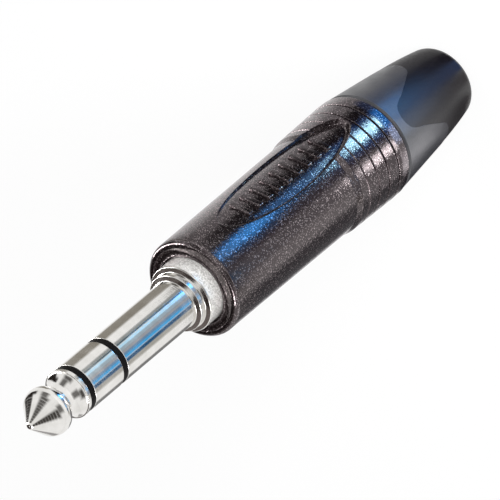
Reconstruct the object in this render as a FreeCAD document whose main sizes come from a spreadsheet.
import FreeCAD, Part

import math
import os

import Sketcher
from FreeCAD import Placement, Rotation, Vector

# Stereo jack plug, millimetres. +Z runs along the axis towards the tip, and the
# origin is the centre of the boot's end face, on which the plug can stand.

doc = FreeCAD.newDocument("jack_plug")


# Driving dimensions

SIZES = [
    # Lengths along the plug, from the boot's end face to the tip
    ("boot_len", 17.8, "boot, end face to shoulder"),
    ("boot_gap", 0.2, "shoulder to the shell's rear edge"),
    ("shell_len", 36.0, "shell"),
    ("boss_reach", 2.2, "boss standing out of the shell"),
    ("finger_len", 30.5, "contact finger, boss face to tip"),
    # The finger's contacts
    ("contact_d", 6.35, "ring, sleeve and flange diameter"),
    ("band_step", 0.05, "insulating bands below the contacts"),
    ("tip_len", 8.1, "tip contact"),
    ("front_band_len", 0.9, "band behind the tip"),
    ("ring_len", 5.5, "ring contact"),
    ("rear_band_len", 0.95, "band behind the ring"),
    ("nose_round", 0.75, "radius of the blunt point"),
    ("cone_slope", 0.92, "radius gained per length on the tip cone"),
    ("cone_base_d", 5.24, "where the cone meets the ball"),
    ("ball_round", 1.74, "radius of the ball's edge"),
    ("ball_rear_d", 5.72, "where the ball ends"),
    ("ball_rear_at", 4.7, "the same place, from the point"),
    ("neck_d", 4.3, "neck"),
    ("neck_at", 5.35, "front of the neck, from the point"),
    ("neck_len", 0.4, "neck"),
    ("flare_round", 2.6, "hollow radius between neck and flange"),
    ("flange_len", 0.55, "straight edge of the tip's flange"),
    ("flange_step", 0.125, "flange above the end of the flare"),
    # Coaxial tubes inside the finger
    ("rod_d", 1.8, "tip rod"),
    ("ring_bore_d", 2.8, "bore of the ring contact"),
    ("tail_d", 3.6, "tail tube of the ring contact"),
    ("sleeve_bore_d", 4.8, "bore of the sleeve contact"),
    ("assembly_gap", 0.02, "radial play between coaxial pieces"),
    # Sleeve contact behind the finger
    ("collar_step", 0.625, "collar above the barrel"),
    ("collar_len", 1.4, "collar"),
    ("collar_cone_len", 0.5, "cone between barrel and collar"),
    ("collar_fillet", 0.35, "hollow radius at the boss"),
    ("boss_step", 0.63, "boss above the collar"),
    ("boss_chamfer", 0.15, "edge of the boss"),
    ("shoulder_gap", 0.15, "play round the flange behind the shell's front wall"),
    ("shoulder_len", 1.6, "the same flange"),
    ("spigot_len", 3.0, "spigot behind the flange"),
    # Solder lugs and washers
    ("plate", 0.6, "lug sheet"),
    ("washer_len", 1.2, "insulating washers"),
    ("washer_inset", 0.1, "front washer below the spigot"),
    ("washer_step", 0.4, "middle washer below the front one"),
    ("counterbore_len", 0.5, "pocket for a swaged tail"),
    ("ring_lug_inset", 0.6, "ring lug's disc below the middle washer"),
    ("tip_lug_d", 4.6, "tip lug's disc"),
    ("tip_tab_at", 2.1, "tip lug's tab, inside face from the axis"),
    ("lug_gap", 0.05, "tabs to the pieces inside them"),
    ("tab_free", 0.3, "sleeve lug's tab to the liner, at its middle"),
    ("solder_room", 3.8, "chuck to the sleeve lug's tab"),
    ("ring_tab_len", 7.5, "ring lug's tab"),
    ("tip_tab_len", 5.5, "tip lug's tab"),
    ("tab_width", 2.4, "width of the tabs"),
    ("eyelet_d", 1.3, "solder hole"),
    ("eyelet_edge", 1.5, "solder hole's centre from the tab's end"),
    ("sleeve_lug_turn", 0.0, "angle of the sleeve lug's tab, degrees"),
    ("ring_lug_turn", 180.0, "angle of the ring lug's tab, degrees"),
    ("tip_lug_turn", 90.0, "angle of the tip lug's tab, degrees"),
    ("rivet_d", 2.8, "swaged head of the tip rod"),
    ("rivet_len", 0.6, "the same head"),
    # Shell
    ("shell_wall", 1.025, "wall behind the front rounding"),
    ("shell_wall_rear", 1.23, "wall before the grip"),
    ("shell_round", 0.6, "front outer rounding"),
    ("shell_wall_front", 3.0, "front wall"),
    ("boss_hole_gap", 0.07, "radial play round the boss"),
    ("front_land", 0.225, "flat ring outside the front face's hollow"),
    ("hole_lip", 0.25, "flat ring inside the same hollow"),
    ("dish_round", 1.0, "hollow radius of the front face"),
    ("grip_len", 10.9, "grip, step to rear edge"),
    ("step_len", 1.0, "ramp in front of the grip"),
    ("grip_wall_front", 1.05, "grip's wall behind the ramp"),
    ("grip_wall_wide", 1.25, "grip's wall at its widest"),
    ("grip_wide_at", 1.6, "the widest place, from the rear edge"),
    ("grip_wall_end", 1.22, "grip's wall at its end rounding"),
    ("grip_end_round", 0.35, "rear outer rounding"),
    ("groove_first", 2.35, "first groove, from the grip's step"),
    ("groove_pitch", 2.08, "groove spacing"),
    ("groove_width", 0.3, "groove at the surface"),
    ("groove_floor_width", 0.2, "groove at its floor"),
    ("groove_depth", 0.14, "groove"),
    ("groove_count", 4, "grooves"),
    ("socket_len", 6.5, "rear bore that takes the boot's neck"),
    ("key_width", 1.4, "chuck's keys"),
    ("key_count", 2, "chuck's keys"),
    ("key_gap", 0.15, "play at the keys, each side"),
    ("keyway_room", 2.0, "keyways beyond the chuck"),
    # Oval panel
    ("panel_len", 24.6, "oval panel, at the height of its long edges"),
    ("panel_width", 6.56, "oval panel, straight across at the same height"),
    ("panel_drop", 0.65, "that height below the panel's floor"),
    ("panel_lean", 30.0, "lean of the panel's walls, degrees"),
    ("panel_mid", 17.7, "panel's centre from the shell's rear edge"),
    ("panel_wall", 0.88, "wall left under the panel"),
    # Liner
    ("liner_gap", 0.1, "play between liner and shell"),
    ("liner_wall", 0.45, "liner"),
    # Chuck
    ("chuck_play", 0.2, "chuck to its neighbours"),
    ("chuck_depth", 5.3, "chuck's rear end behind the boot's shoulder"),
    ("chuck_len", 17.0, "chuck over all"),
    ("chuck_ring_len", 4.0, "keyed ring"),
    ("ring_step", 0.8, "keyed ring above the jaws"),
    ("chuck_bore_d", 6.6, "cable way through the chuck"),
    ("jaw_wall", 1.2, "slotted jaws"),
    ("jaw_cone_len", 5.5, "coned ends of the jaws"),
    ("jaw_tip_wall", 0.6, "coned ends, at their tips"),
    ("slot_width", 0.9, "slots"),
    ("slot_count", 6, "slots"),
    ("tooth_depth", 0.25, "ridges that bite the cable"),
    ("tooth_pitch", 1.1, "the same ridges"),
    ("tooth_count", 4, "the same ridges"),
    ("key_len", 3.4, "keys on the ring"),
    ("key_rise", 0.5, "keys above the ring"),
    # Boot
    ("boot_neck_len", 6.2, "threaded neck that enters the shell"),
    ("boot_neck_wall", 0.8, "neck's wall at the thread's root"),
    ("thread_room", 0.45, "neck to the shell's socket, for the thread"),
    ("neck_chamfer", 0.4, "lead-in of the neck"),
    ("boot_lip", 0.11, "boot's shoulder below the grip's end"),
    ("boot_top_edge", 0.25, "edge of the shoulder"),
    ("waist_land", 0.79, "soft land on the core where the straight cone ends"),
    ("waist_at", 8.6, "the same place, from the end face"),
    ("boot_belly", 76.0, "radius of the curve behind the waist"),
    ("boot_end_wall", 2.02, "gland's wall where that curve ends"),
    ("boot_end_at", 1.3, "the same place, from the end face"),
    ("boot_end_round", 1.6, "end rounding"),
    ("boot_foot", 0.45, "width of the flat ring at the end"),
    ("core_wall", 0.6, "hard core under the soft lands"),
    ("core_end", 7.0, "core's end, from the end face"),
    ("gap_round", 1.86, "round bottom of the gaps between the tabs"),
    ("gap_shoulder_half", 1.76, "half width where that bottom ends"),
    ("gap_shoulder_at", 3.06, "the same place, from the boot's shoulder"),
    ("flank_half", 3.72, "half width where a gap's flank ends"),
    ("flank_at", 9.0, "the same place, from the end face"),
    ("tab_tip_half", 5.11, "half width of a gap at the tabs' tips"),
    ("tab_tip_at", 7.6, "tabs' tips, from the end face"),
    ("tab_round", 1.9, "rounding of the tabs' corners"),
    ("tab_count", 3, "tabs"),
    ("gap_turn", 111.0, "turn of the gaps about the axis, degrees"),
    ("gland_bore_d", 6.0, "cable way through the gland"),
]


class Size:
    """A number together with the expression that gives it from the sheet."""

    def __init__(self, value, text):
        self.value = value
        self.text = text

    def __add__(self, other):
        return joined(self, "+", other)

    def __sub__(self, other):
        return joined(self, "-", other)

    def __mul__(self, other):
        return joined(self, "*", other)

    def __truediv__(self, other):
        return joined(self, "/", other)

    def __neg__(self):
        return Size(-self.value, "-(" + self.text + ")")


def as_size(number):
    return number if isinstance(number, Size) else Size(number, repr(number))


def joined(left, sign, right):
    left, right = as_size(left), as_size(right)
    results = {
        "+": lambda a, b: a + b,
        "-": lambda a, b: a - b,
        "*": lambda a, b: a * b,
        "/": lambda a, b: a / b,
    }
    text = "(" + left.text + " " + sign + " " + right.text + ")"
    return Size(results[sign](left.value, right.value), text)


sheet = doc.addObject("Spreadsheet::Sheet", "sizes")
D = {}
for row, (alias, number, meaning) in enumerate(SIZES, start=1):
    sheet.set("A%d" % row, meaning)
    sheet.set("B%d" % row, str(number))
    sheet.setAlias("B%d" % row, alias)
    D[alias] = Size(float(number), "sizes." + alias)
doc.recompute()


def half(alias):
    """The radius of a diameter in the sheet."""
    return D[alias] / 2


# Stations along the axis, worked out from the driving dimensions

ZERO = Size(0.0, "0")
shell_rear = D["boot_len"] + D["boot_gap"]
shell_front = shell_rear + D["shell_len"]
boss_face = shell_front + D["boss_reach"]
tip_point = boss_face + D["finger_len"]
tip_back = tip_point - D["tip_len"]
ring_front = tip_back - D["front_band_len"]
ring_back = ring_front - D["ring_len"]
sleeve_front = ring_back - D["rear_band_len"]
shoulder_front = shell_front - D["shell_wall_front"]
shoulder_back = shoulder_front - D["shoulder_len"]
spigot_back = shoulder_back - D["spigot_len"]
ring_lug_front = spigot_back - D["washer_len"]
ring_lug_back = ring_lug_front - D["plate"]
tip_lug_front = ring_lug_back - D["washer_len"]
tip_lug_back = tip_lug_front - D["plate"]
socket_end = shell_rear + D["socket_len"]
neck_end = D["boot_len"] + D["boot_neck_len"]
grip_front = shell_rear + D["grip_len"]
chuck_back = D["boot_len"] - D["chuck_depth"]
chuck_cone_front = chuck_back + D["jaw_cone_len"]
chuck_front = chuck_back + D["chuck_len"]
chuck_ring_back = chuck_front - D["chuck_ring_len"]
liner_back = chuck_front + D["chuck_play"]
liner_front = shoulder_back - D["plate"]
sleeve_tab_end = chuck_front + D["solder_room"]

# Radii of the finger, from its diameter and the tubes inside it

contact_r = half("contact_d")
band_r = contact_r - D["band_step"]
collar_r = contact_r + D["collar_step"]
boss_r = collar_r + D["boss_step"]
boss_hole_r = boss_r + D["boss_hole_gap"]
tip_tube_r = half("rod_d") + D["assembly_gap"]
ring_tube_r = half("ring_bore_d") - D["assembly_gap"]
tail_clear_r = half("tail_d") + D["assembly_gap"]
sleeve_tube_r = half("sleeve_bore_d") - D["assembly_gap"]

# Radii of the handle and boot, from the cable way outwards

jaw_r = half("chuck_bore_d") + D["jaw_wall"]
jaw_tip_r = half("chuck_bore_d") + D["jaw_tip_wall"]
boot_bore_r = jaw_r + D["chuck_play"]
boot_cone_r = jaw_tip_r + D["chuck_play"]
core_r = boot_bore_r + D["core_wall"]
boot_neck_r = boot_bore_r + D["boot_neck_wall"]
socket_r = boot_neck_r + D["thread_room"]
grip_front_r = socket_r + D["grip_wall_front"]
grip_wide_r = socket_r + D["grip_wall_wide"]
grip_end_r = socket_r + D["grip_wall_end"]
boot_top_r = grip_end_r - D["boot_lip"]
waist_r = core_r + D["waist_land"]
boot_end_r = half("gland_bore_d") + D["boot_end_wall"]
foot_r = half("gland_bore_d") + D["boot_foot"]
chuck_ring_r = jaw_r + D["ring_step"]
chamber_r = chuck_ring_r + D["chuck_play"]
key_r = chuck_ring_r + D["key_rise"]
keyway_r = key_r + D["key_gap"]
liner_r = chamber_r - D["liner_gap"]
liner_bore_r = liner_r - D["liner_wall"]
shoulder_r = chamber_r - D["shoulder_gap"]
shell_front_r = chamber_r + D["shell_wall"]
shell_rear_r = chamber_r + D["shell_wall_rear"]
panel_floor_r = chamber_r + D["panel_wall"]
sleeve_tab_at = liner_bore_r - D["tab_free"] - D["plate"]
spigot_r = sleeve_tab_at - D["lug_gap"]
front_washer_r = spigot_r - D["washer_inset"]
middle_washer_r = front_washer_r - D["washer_step"]
ring_lug_r = middle_washer_r - D["ring_lug_inset"]


# Ways of making a solid

def arc_between(start, end, radius, turn):
    """The arc from start to end; turn is 1 anticlockwise and -1 clockwise."""
    chord = end - start
    middle = (start + end) / 2
    rise = math.sqrt(max(radius * radius - chord.Length * chord.Length / 4, 0.0))
    normal = Vector(-chord.y, chord.x, 0).normalize()
    centre = middle + normal * rise * turn
    first, last = (start, end) if turn > 0 else (end, start)
    angles = [math.atan2(p.y - centre.y, p.x - centre.x) for p in (first, last)]
    return Part.ArcOfCircle(Part.Circle(centre, Vector(0, 0, 1), radius), angles[0], angles[1])


def place_point(sketch, edge, end, corner):
    """Tie one end of an edge to its distances from the sketch's origin."""
    settings = (("DistanceX", corner[0], -2), ("DistanceY", corner[1], -1))
    for kind, size, axis in settings:
        if abs(size.value) < 1e-9:
            sketch.addConstraint(Sketcher.Constraint("PointOnObject", edge, end, axis))
            continue
        ends = (-1, 1, edge, end) if size.value > 0 else (edge, end, -1, 1)
        reach = size if size.value > 0 else -size
        index = sketch.addConstraint(Sketcher.Constraint(kind, *ends, reach.value))
        sketch.setExpression("Constraints[%d]" % index, reach.text)


def outline(body, name, plane, corners, arcs=None):
    """A closed outline on one of the body's own planes; arcs is edge: (radius, turn)."""
    arcs = arcs or {}
    support = [f for f in body.Origin.OriginFeatures if f.Role == plane][0]
    sketch = body.newObject("Sketcher::SketchObject", name)
    sketch.AttachmentSupport = [(support, "")]
    sketch.MapMode = "FlatFace"
    points = [Vector(x.value, y.value, 0) for x, y in corners]
    heads = []
    for index, start in enumerate(points):
        end = points[(index + 1) % len(points)]
        if index in arcs:
            radius, turn = arcs[index]
            edge = sketch.addGeometry(arc_between(start, end, radius.value, turn), False)
            bound = sketch.addConstraint(Sketcher.Constraint("Radius", edge, radius.value))
            sketch.setExpression("Constraints[%d]" % bound, radius.text)
            heads.append((edge, 1, 2) if turn > 0 else (edge, 2, 1))
        else:
            edge = sketch.addGeometry(Part.LineSegment(start, end), False)
            heads.append((edge, 1, 2))
    for index, (edge, head, _) in enumerate(heads):
        before, _, tail = heads[index - 1]
        sketch.addConstraint(Sketcher.Constraint("Coincident", before, tail, edge, head))
        place_point(sketch, edge, head, corners[index])
    return sketch


def turned(name, corners, arcs=None):
    """A body turned about Z from its half section of (radius, height) corners."""
    body = doc.addObject("PartDesign::Body", name)
    section = outline(body, name + "_section", "XZ_Plane", corners, arcs)
    spin = body.newObject("PartDesign::Revolution", name + "_turning")
    spin.Profile = section
    spin.ReferenceAxis = (section, ["V_Axis"])
    spin.Angle = 360
    body.Tip = spin
    doc.recompute()
    return body


def tube(name, outer, inner, bottom, top):
    """A plain turned tube."""
    return turned(name, [(inner, bottom), (outer, bottom), (outer, top), (inner, top)])


def rectangle(left, right, low, high):
    return [(left, low), (right, low), (right, high), (left, high)]


def cut_profile(body, name, plane, corners, depth, arcs=None, both_ways=False):
    """A pocket from one of the body's planes, and the volume that it takes away."""
    before = body.Shape.Volume
    pocket = body.newObject("PartDesign::Pocket", name)
    pocket.Profile = outline(body, name + "_outline", plane, corners, arcs)
    pocket.SideType = "Symmetric" if both_ways else "One side"
    pocket.setExpression("Length", depth.text)
    body.Tip = pocket
    doc.recompute()
    if body.Shape.Volume > before - 1e-3:
        raise RuntimeError(name + " cuts nothing")
    return pocket


def polar(body, name, feature, count):
    """Copies of a feature about Z."""
    pattern = body.newObject("PartDesign::PolarPattern", name)
    pattern.Originals = [feature]
    pattern.Axis = (feature.Profile[0], ["V_Axis"])
    pattern.Angle = 360
    pattern.setExpression("Occurrences", count.text)
    body.Tip = pattern
    doc.recompute()
    return pattern


def bind(item, **sizes):
    """Bind properties of a primitive to sizes; double underscores stand for dots."""
    for key, size in sizes.items():
        item.setExpression(key.replace("__", "."), as_size(size).text)
    return item


def box(name, x, y, z, dx, dy, dz):
    """A box by its lowest corner and its sides."""
    item = doc.addObject("Part::Box", name)
    bind(item, Length=dx, Width=dy, Height=dz)
    return bind(item, Placement__Base__x=x, Placement__Base__y=y, Placement__Base__z=z)


def cylinder(name, radius, bottom, height):
    item = doc.addObject("Part::Cylinder", name)
    return bind(item, Radius=radius, Height=height, Placement__Base__z=bottom)


def combined(kind, name, base, tool):
    item = doc.addObject("Part::" + kind, name)
    item.Base = base
    item.Tool = tool
    item.Refine = True
    return item


# Finger: tip, ring and sleeve contacts and the insulators between them

def make_tip_contact():
    """Ball-nosed tip, neck and flange in one piece with the rod through the plug."""
    slope = D["cone_slope"]
    lean = math.atan(slope.value)
    across = Size(math.cos(lean), "cos(atan(" + slope.text + "))")
    along = Size(math.sin(lean), "sin(atan(" + slope.text + "))")
    nose_r = D["nose_round"] * across
    nose_drop = D["nose_round"] - D["nose_round"] * along
    cone_drop = nose_drop + (half("cone_base_d") - nose_r) / slope
    neck_back = tip_point - D["neck_at"] - D["neck_len"]
    rivet_back = tip_lug_back - D["rivet_len"]
    corners = [
        (ZERO, tip_point),
        (ZERO, rivet_back),
        (half("rivet_d"), rivet_back),
        (half("rivet_d"), tip_lug_back),
        (half("rod_d"), tip_lug_back),
        (half("rod_d"), tip_back),
        (contact_r, tip_back),
        (contact_r, tip_back + D["flange_len"]),
        (contact_r - D["flange_step"], tip_back + D["flange_len"]),
        (half("neck_d"), neck_back),
        (half("neck_d"), tip_point - D["neck_at"]),
        (half("ball_rear_d"), tip_point - D["ball_rear_at"]),
        (half("cone_base_d"), tip_point - cone_drop),
        (nose_r, tip_point - nose_drop),
    ]
    arcs = {8: (D["flare_round"], -1), 11: (D["ball_round"], 1), 13: (D["nose_round"], 1)}
    return turned("tip_contact", corners, arcs)


def make_insulator(name, band_back, band_front, inner, outer, tail_end):
    """A visible band with the tube that lines the next contact out."""
    corners = [
        (inner, tail_end),
        (outer, tail_end),
        (outer, band_back),
        (band_r, band_back),
        (band_r, band_front),
        (inner, band_front),
    ]
    return turned(name, corners)


def make_ring_contact():
    """Ring with its tail tube, which is swaged behind its lug."""
    tail_end = ring_lug_back - D["counterbore_len"] + D["assembly_gap"]
    corners = [
        (half("ring_bore_d"), tail_end),
        (half("tail_d"), tail_end),
        (half("tail_d"), ring_back),
        (contact_r, ring_back),
        (contact_r, ring_front),
        (half("ring_bore_d"), ring_front),
    ]
    return turned("ring_contact", corners)


def make_sleeve_contact():
    """Barrel, collar and boss, with the shoulder and spigot inside the shell."""
    collar_front = boss_face + D["collar_len"]
    barrel_end = collar_front - D["collar_cone_len"]
    fillet = D["collar_fillet"]
    chamfer = D["boss_chamfer"]
    corners = [
        (half("sleeve_bore_d"), spigot_back),
        (spigot_r, spigot_back),
        (spigot_r, shoulder_back),
        (shoulder_r, shoulder_back),
        (shoulder_r, shoulder_front),
        (boss_r, shoulder_front),
        (boss_r, boss_face - chamfer),
        (boss_r - chamfer, boss_face),
        (collar_r + fillet, boss_face),
        (collar_r, boss_face + fillet),
        (collar_r, barrel_end),
        (contact_r, collar_front),
        (contact_r, sleeve_front),
        (half("sleeve_bore_d"), sleeve_front),
    ]
    return turned("sleeve_contact", corners, {8: (fillet, -1)})


# Solder lugs and the washers between them

def make_lug(name, disc_r, hole_r, front, tab_at, tab_end, turn):
    """A sheet disc with an arm and a bent tab, drilled for its stem and for solder."""
    plate, width = D["plate"], D["tab_width"]
    back = front - plate
    disc = cylinder(name + "_disc", disc_r, back, plate)
    arm = box(name + "_arm", ZERO, width / -2, back, tab_at + plate, width, plate)
    tab = box(name + "_tab", tab_at, width / -2, tab_end, plate, width, front - tab_end)
    flat = combined("Fuse", name + "_flat", disc, arm)
    bent = combined("Fuse", name + "_bent", flat, tab)
    stem = cylinder(name + "_stem", hole_r, back, plate)
    drilled = combined("Cut", name + "_drilled", bent, stem)
    eyelet = doc.addObject("Part::Cylinder", name + "_eyelet")
    eyelet.Placement = Placement(Vector(0, 0, 0), Rotation(Vector(0, 1, 0), 90))
    bind(eyelet, Radius=half("eyelet_d"), Height=plate * 3)
    bind(eyelet, Placement__Base__x=tab_at - plate, Placement__Base__z=tab_end + D["eyelet_edge"])
    lug = combined("Cut", name, drilled, eyelet)
    lug.Placement = Placement(Vector(0, 0, 0), Rotation(Vector(0, 0, 1), turn.value))
    if turn.value:
        bind(lug, Placement__Rotation__Angle=turn)
    return lug


def make_front_washer():
    """Washer between the spigot and the ring lug."""
    return tube("front_washer", front_washer_r, tail_clear_r, ring_lug_front, spigot_back)


def make_middle_washer():
    """Washer between the ring and tip lugs, hollowed for the swaged tail."""
    pocket_end = ring_lug_back - D["counterbore_len"]
    corners = [
        (tip_tube_r, tip_lug_front),
        (middle_washer_r, tip_lug_front),
        (middle_washer_r, ring_lug_back),
        (tail_clear_r, ring_lug_back),
        (tail_clear_r, pocket_end),
        (tip_tube_r, pocket_end),
    ]
    return turned("middle_washer", corners)


# Shell

def make_shell():
    """Handle: front wall, chamber, socket for the boot, grip grooves, keyways, panel."""
    round_r = D["shell_round"]
    end_round = D["grip_end_round"]
    corners = [
        (socket_r, shell_rear),
        (grip_end_r - end_round, shell_rear),
        (grip_end_r, shell_rear + end_round),
        (grip_wide_r, shell_rear + D["grip_wide_at"]),
        (grip_front_r, grip_front - D["step_len"]),
        (shell_rear_r, grip_front),
        (shell_front_r, shell_front - round_r),
        (shell_front_r - round_r, shell_front),
        (shell_front_r - round_r - D["front_land"], shell_front),
        (boss_hole_r + D["hole_lip"], shell_front),
        (boss_hole_r, shell_front),
        (boss_hole_r, shoulder_front),
        (chamber_r, shoulder_front),
        (chamber_r, socket_end),
        (socket_r, socket_end),
    ]
    arcs = {1: (end_round, 1), 6: (round_r, 1), 8: (D["dish_round"], -1)}
    body = turned("shell_body", corners, arcs)
    cut_grooves(body)
    keyway_width = D["key_width"] + D["key_gap"] * 2
    keyway = rectangle(liner_bore_r, keyway_r, socket_end - D["key_gap"], chuck_front + D["keyway_room"])
    cut = cut_profile(body, "keyway", "YZ_Plane", keyway, keyway_width, both_ways=True)
    polar(body, "keyways", cut, D["key_count"])
    return combined("Cut", "shell", body, make_panel_cutter())


def cut_grooves(body):
    """Fine grooves round the grip, one cut and repeated along the axis."""
    before = body.Shape.Volume
    middle = grip_front - D["groove_first"]
    outer = grip_wide_r + D["groove_depth"]
    floor_r = grip_front_r - D["groove_depth"]
    surface_half, floor_half = D["groove_width"] / 2, D["groove_floor_width"] / 2
    corners = [
        (floor_r, middle - floor_half),
        (outer, middle - surface_half),
        (outer, middle + surface_half),
        (floor_r, middle + floor_half),
    ]
    groove = body.newObject("PartDesign::Groove", "grip_groove")
    groove.Profile = outline(body, "groove_section", "XZ_Plane", corners)
    groove.ReferenceAxis = (groove.Profile[0], ["V_Axis"])
    groove.Angle = 360
    body.Tip = groove
    doc.recompute()
    if body.Shape.Volume > before - 1e-3:
        raise RuntimeError("grip_groove cuts nothing")
    rows = body.newObject("PartDesign::LinearPattern", "grip_grooves")
    rows.Originals = [groove]
    rows.Direction = (groove.Profile[0], ["V_Axis"])
    rows.Reversed = True
    rows.setExpression("Occurrences", D["groove_count"].text)
    rows.setExpression("Length", (D["groove_pitch"] * (D["groove_count"] - 1)).text)
    body.Tip = rows
    doc.recompute()


def make_panel_cutter():
    """The oval panel's hollow: an oval bar with leaning sides, outside the panel's floor."""
    height = panel_floor_r - D["panel_drop"]
    oval = doc.addObject("Part::Ellipse", "panel_oval")
    oval.Placement = Placement(Vector(0, 0, 0), Rotation(Vector(0, 1, 0), -90))
    bind(oval, MajorRadius=D["panel_len"] / 2, MinorRadius=D["panel_width"] / 2)
    bind(oval, Placement__Base__x=height, Placement__Base__z=shell_rear + D["panel_mid"])
    bar = doc.addObject("Part::Extrusion", "panel_bar")
    bar.Base = oval
    bar.DirMode = "Custom"
    bar.Dir = Vector(1, 0, 0)
    bar.Solid = True
    bind(bar, LengthFwd=grip_wide_r - height + D["shell_round"], LengthRev=height / 6)
    bind(bar, TaperAngle=D["panel_lean"], TaperAngleRev=-D["panel_lean"])
    floor = cylinder("panel_floor", panel_floor_r, ZERO, tip_point)
    return combined("Cut", "panel_cutter", bar, floor)


# Liner and chuck

def make_liner():
    """Insulating tube between the lugs and the shell."""
    return tube("liner", liner_r, liner_bore_r, liner_back, liner_front)


def make_chuck():
    """Keyed ring with slotted, coned jaws that close on the cable."""
    bore = half("chuck_bore_d")
    corners = [
        (jaw_tip_r, chuck_back),
        (jaw_r, chuck_cone_front),
        (jaw_r, chuck_ring_back),
        (chuck_ring_r, chuck_ring_back),
        (chuck_ring_r, chuck_front),
        (bore, chuck_front),
    ]
    pitch = D["tooth_pitch"]
    for tooth in range(int(D["tooth_count"].value), 0, -1):
        root = chuck_back + pitch * tooth
        corners += [(bore, root), (bore - D["tooth_depth"], root - pitch / 2)]
    corners.append((bore, chuck_back))
    body = turned("chuck", corners)
    slot = rectangle(bore / 2, chuck_ring_r, chuck_back - D["chuck_play"], chuck_ring_back)
    cut = cut_profile(body, "slot", "XZ_Plane", slot, D["slot_width"], both_ways=True)
    polar(body, "slots", cut, D["slot_count"])
    add_keys(body)
    return body


def add_keys(body):
    """Keys on the ring, which slide in the shell's keyways."""
    key_back = chuck_front - D["key_len"]
    key = rectangle(chuck_ring_r - D["key_rise"], key_r, key_back, chuck_front)
    pad = body.newObject("PartDesign::Pad", "key")
    pad.Profile = outline(body, "key_outline", "YZ_Plane", key)
    pad.SideType = "Symmetric"
    pad.setExpression("Length", D["key_width"].text)
    body.Tip = pad
    doc.recompute()
    polar(body, "keys", pad, D["key_count"])


# Boot

def make_boot_core():
    """Neck that screws into the shell, and the coned core that squeezes the chuck."""
    core_top = D["boot_len"] - D["boot_top_edge"]
    corners = [
        (boot_cone_r, D["core_end"]),
        (core_r, D["core_end"]),
        (core_r, core_top),
        (boot_neck_r, core_top),
        (boot_neck_r, neck_end - D["neck_chamfer"]),
        (boot_neck_r - D["neck_chamfer"], neck_end),
        (boot_bore_r, neck_end),
        (boot_bore_r, chuck_cone_front),
        (boot_cone_r, chuck_back),
    ]
    return turned("boot_core", corners)


def turned_boot(name):
    """The boot's outer form round the core, which the tabs and the gland share."""
    corners = [
        (half("gland_bore_d"), ZERO),
        (foot_r, ZERO),
        (boot_end_r, D["boot_end_at"]),
        (waist_r, D["waist_at"]),
        (boot_top_r, D["boot_len"] - D["boot_top_edge"]),
        (boot_top_r - D["boot_top_edge"], D["boot_len"]),
        (core_r, D["boot_len"]),
        (core_r, D["core_end"]),
        (half("gland_bore_d"), D["core_end"]),
    ]
    return turned(name, corners, {1: (D["boot_end_round"], 1), 2: (D["boot_belly"], 1)})


def make_boot_nut():
    """Hard ring with pointed tabs, in one piece with its core and neck."""
    skirt = turned_boot("boot_skirt")
    wide = boot_top_r
    shoulder_at = D["boot_len"] - D["gap_shoulder_at"]
    low = -D["boot_top_edge"]
    tip_x, flank_x, shoulder_x = D["tab_tip_half"], D["flank_half"], D["gap_shoulder_half"]
    corners = [
        (-wide, low),
        (wide, low),
        (wide, D["tab_tip_at"]),
        (tip_x, D["tab_tip_at"]),
        (flank_x, D["flank_at"]),
        (shoulder_x, shoulder_at),
        (-shoulder_x, shoulder_at),
        (-flank_x, D["flank_at"]),
        (-tip_x, D["tab_tip_at"]),
        (-wide, D["tab_tip_at"]),
    ]
    arcs = {3: (D["tab_round"], -1), 5: (D["gap_round"], 1), 7: (D["tab_round"], -1)}
    gap = cut_profile(skirt, "tab_gap", "XZ_Plane", corners, boot_top_r * 2, arcs)
    polar(skirt, "tab_gaps", gap, D["tab_count"])
    skirt.Placement = Placement(Vector(0, 0, 0), Rotation(Vector(0, 0, 1), D["gap_turn"].value))
    bind(skirt, Placement__Rotation__Angle=D["gap_turn"])
    return combined("Fuse", "boot_nut", make_boot_core(), skirt)


def make_boot_gland(nut):
    """Soft end of the boot, moulded round the tabs."""
    return combined("Cut", "boot_gland", turned_boot("gland_form"), nut)


# The whole plug

def build():
    """Every piece by its name, in the order in which the plug is put together."""
    pieces = [
        make_tip_contact(),
        make_insulator("tip_insulator", ring_front, tip_back, tip_tube_r, ring_tube_r,
                       ring_lug_back - D["counterbore_len"]),
        make_ring_contact(),
        make_insulator("ring_insulator", sleeve_front, ring_back, tail_clear_r, sleeve_tube_r,
                       spigot_back),
        make_sleeve_contact(),
        make_lug("sleeve_terminal", shoulder_r, spigot_r + D["assembly_gap"], shoulder_back,
                 sleeve_tab_at, sleeve_tab_end, D["sleeve_lug_turn"]),
        make_front_washer(),
        make_lug("ring_terminal", ring_lug_r, tail_clear_r, ring_lug_front,
                 middle_washer_r + D["lug_gap"], ring_lug_back - D["ring_tab_len"], D["ring_lug_turn"]),
        make_middle_washer(),
        make_lug("tip_terminal", half("tip_lug_d"), tip_tube_r, tip_lug_front,
                 D["tip_tab_at"], tip_lug_back - D["tip_tab_len"], D["tip_lug_turn"]),
        make_shell(),
        make_liner(),
        make_chuck(),
    ]
    nut = make_boot_nut()
    return pieces + [nut, make_boot_gland(nut)]


pieces = build()
doc.recompute()
for item in doc.Objects:
    if {"Invalid", "Error"} & set(item.State):
        raise RuntimeError(item.Name + " did not build")
for piece in pieces:
    if piece.Shape.isNull() or not piece.Shape.isValid() or len(piece.Shape.Solids) != 1:
        raise RuntimeError(piece.Label + " is not one sound solid")

os.makedirs("parts", exist_ok=True)
for piece in pieces:
    piece.Label = piece.Name
    piece.Shape.exportStep("parts/" + piece.Label + ".step")
    reach = piece.Shape.BoundBox
    print("%-16s volume %8.2f  z %6.2f to %6.2f" % (piece.Label, piece.Shape.Volume, reach.ZMin, reach.ZMax))
